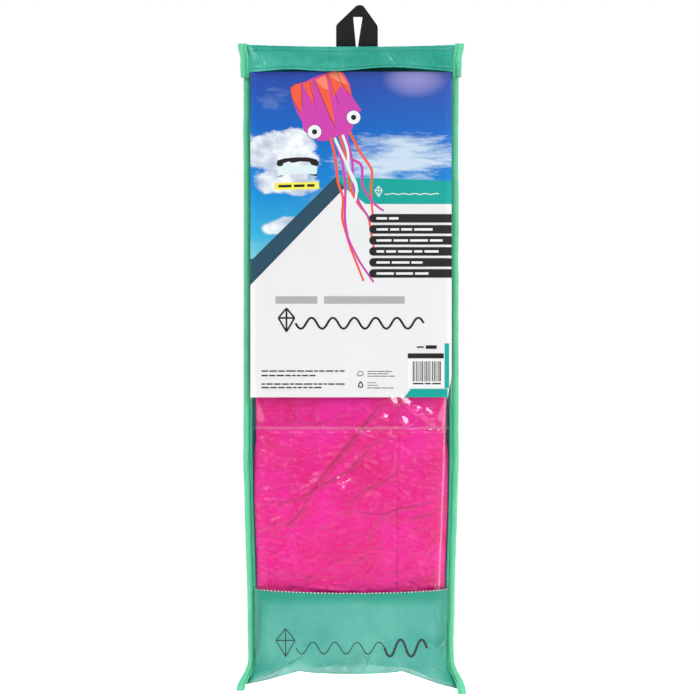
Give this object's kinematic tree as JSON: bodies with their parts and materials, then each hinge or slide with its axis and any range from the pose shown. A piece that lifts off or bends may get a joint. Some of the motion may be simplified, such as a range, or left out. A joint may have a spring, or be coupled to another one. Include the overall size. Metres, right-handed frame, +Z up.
{
  "type": "packed octopus kite",
  "caption": "Soft octopus kite folded in its upright hanging sleeve, with a clear window, printed card, hand reel, closing flap and webbing hang loop.",
  "frame": {"origin": "top of the hang loop's eye, where the peg carries the pack", "axes": "+Z up along the sleeve, +X to the viewer's right, -Y out of the front window"},
  "size_m": [0.232, 0.0325, 0.6885],
  "materials": {
    "teal_nylon": "woven nylon, slight sheen",
    "mint_binding": "ribbed polyester binding tape",
    "black_webbing": "woven polyester webbing",
    "closure_tape": "hook and loop tape",
    "clear_film": "clear soft PVC film, glossy",
    "grey_thread": "polyester thread",
    "teal_thread": "polyester thread",
    "mint_thread": "polyester thread",
    "black_thread": "polyester thread",
    "card": "printed and gloss-coated board",
    "pink_ripstop": "ripstop nylon",
    "orange_ripstop": "ripstop nylon",
    "white_ripstop": "ripstop nylon",
    "black_ripstop": "ripstop nylon",
    "bridle_line": "braided polyester line",
    "reel_plastic": "moulded ABS, fine texture",
    "flying_line": "braided polyester line"
  },
  "bodies": {
    "loop": {"hang_loop": "black_webbing"},
    "sleeve": {"back_panel": "teal_nylon", "front_panel": "teal_nylon", "window_film": "clear_film", "pocket_film": "clear_film", "left_binding": "mint_binding", "right_binding": "mint_binding", "mouth_hem": "teal_nylon", "closure_loop_tape": "closure_tape", "loop_ends": "black_webbing", "loop_end_stitching": "black_thread", "pocket_seam_stitching": "grey_thread", "panel_seam_stitching": "teal_thread", "binding_stitching": "mint_thread", "insert_card": "card", "kite_skin_left": "pink_ripstop", "kite_skin_center": "pink_ripstop", "kite_skin_right": "pink_ripstop", "kite_ribs": "pink_ripstop", "kite_lower_skin": "pink_ripstop", "left_eye": "white_ripstop", "right_eye": "white_ripstop", "left_pupil": "black_ripstop", "right_pupil": "black_ripstop", "bridle_hank": "bridle_line", "reel_frame": "reel_plastic", "line_winding": "flying_line", "tentacle_1": "pink_ripstop", "tentacle_2": "orange_ripstop", "tentacle_3": "pink_ripstop", "tentacle_4": "white_ripstop", "tentacle_5": "orange_ripstop", "tentacle_6": "pink_ripstop", "tentacle_7": "white_ripstop", "tentacle_8": "orange_ripstop"},
    "flap": {"flap_panel": "teal_nylon", "flap_left_binding": "mint_binding", "flap_right_binding": "mint_binding", "closure_hook_tape": "closure_tape", "flap_stitching": "teal_thread"}
  },
  "joints": [
    {"name": "loop_swing", "type": "hinge", "parent": "loop", "child": "sleeve", "pos_m": [0, 0.0012, -0.029], "axis": [1, 0, 0], "range_deg": [-30, 70]},
    {"name": "flap_lift", "type": "hinge", "parent": "sleeve", "child": "flap", "pos_m": [-0.006, -0.0036, -0.0294], "axis": [-1, 0, 0], "range_deg": [0, 110]}
  ]
}
